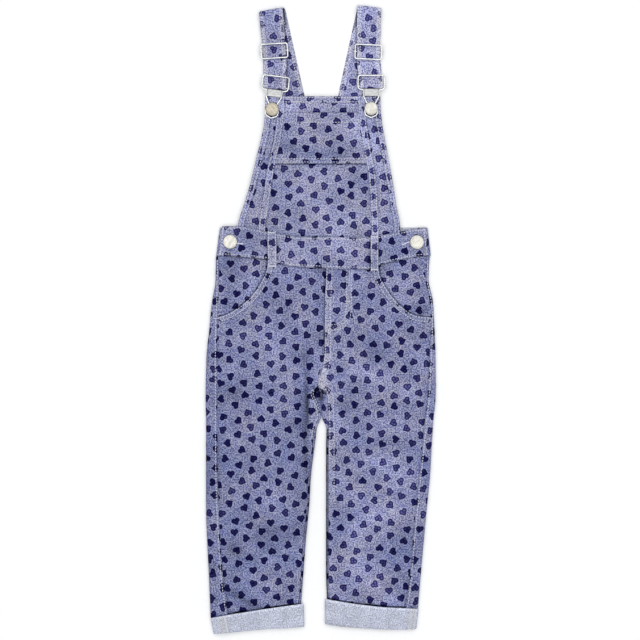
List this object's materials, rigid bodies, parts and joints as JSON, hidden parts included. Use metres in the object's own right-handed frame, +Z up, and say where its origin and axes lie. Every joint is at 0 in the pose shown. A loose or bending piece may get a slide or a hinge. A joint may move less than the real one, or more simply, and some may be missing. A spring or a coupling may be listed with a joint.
{
  "type": "kids dungarees",
  "caption": "Child's bib dungarees in light blue chambray with a small heart print, turned-up cuffs and buckled straps, lying flat on their back.",
  "frame": {"origin": "middle of the garment's outline on the surface it lies on", "axes": "+Y from the leg hems to the strap folds, +Z up out of the front cloth, +X to the right seen from above"},
  "size_m": [0.274, 0.7488, 0.0103],
  "materials": {
    "printed_chambray": "light blue-grey cotton chambray with scattered small navy hearts and off-white topstitching",
    "cuff_cloth": "pale wrong side of the chambray, turned up at the hems",
    "silver_wire": "bright nickel-plated wire and plate",
    "champagne_buttons": "satin warm silver button with a plain brushed face",
    "silver_buttons": "satin pale silver button with a plain brushed face"
  },
  "bodies": {
    "root": {"armhole_hem_left": "printed_chambray", "armhole_hem_right": "printed_chambray", "back_bib": "printed_chambray", "belt_loop_left": "printed_chambray", "belt_loop_right": "printed_chambray", "bib_centre": "printed_chambray", "bib_pocket": "printed_chambray", "bib_side_left": "printed_chambray", "bib_side_right": "printed_chambray", "bib_strip_left": "printed_chambray", "bib_strip_right": "printed_chambray", "bib_top_hem": "printed_chambray", "hip_piece_left": "printed_chambray", "hip_piece_right": "printed_chambray", "leg_back_left": "printed_chambray", "leg_back_right": "printed_chambray", "leg_front_left": "printed_chambray", "leg_front_right": "printed_chambray", "pocket_binding_left": "printed_chambray", "pocket_binding_right": "printed_chambray", "strap_left": "printed_chambray", "strap_right": "printed_chambray", "waistband_back": "printed_chambray", "waistband_front": "printed_chambray", "cuff_left": "cuff_cloth", "cuff_right": "cuff_cloth", "slider_left": "silver_wire", "slider_right": "silver_wire", "buckle_left": "silver_wire", "buckle_right": "silver_wire", "buckle_plate_left": "silver_wire", "buckle_plate_right": "silver_wire", "bib_button_left": "champagne_buttons", "hip_button_left": "champagne_buttons", "bib_button_right": "silver_buttons", "hip_button_right": "silver_buttons"}
  },
  "joints": []
}
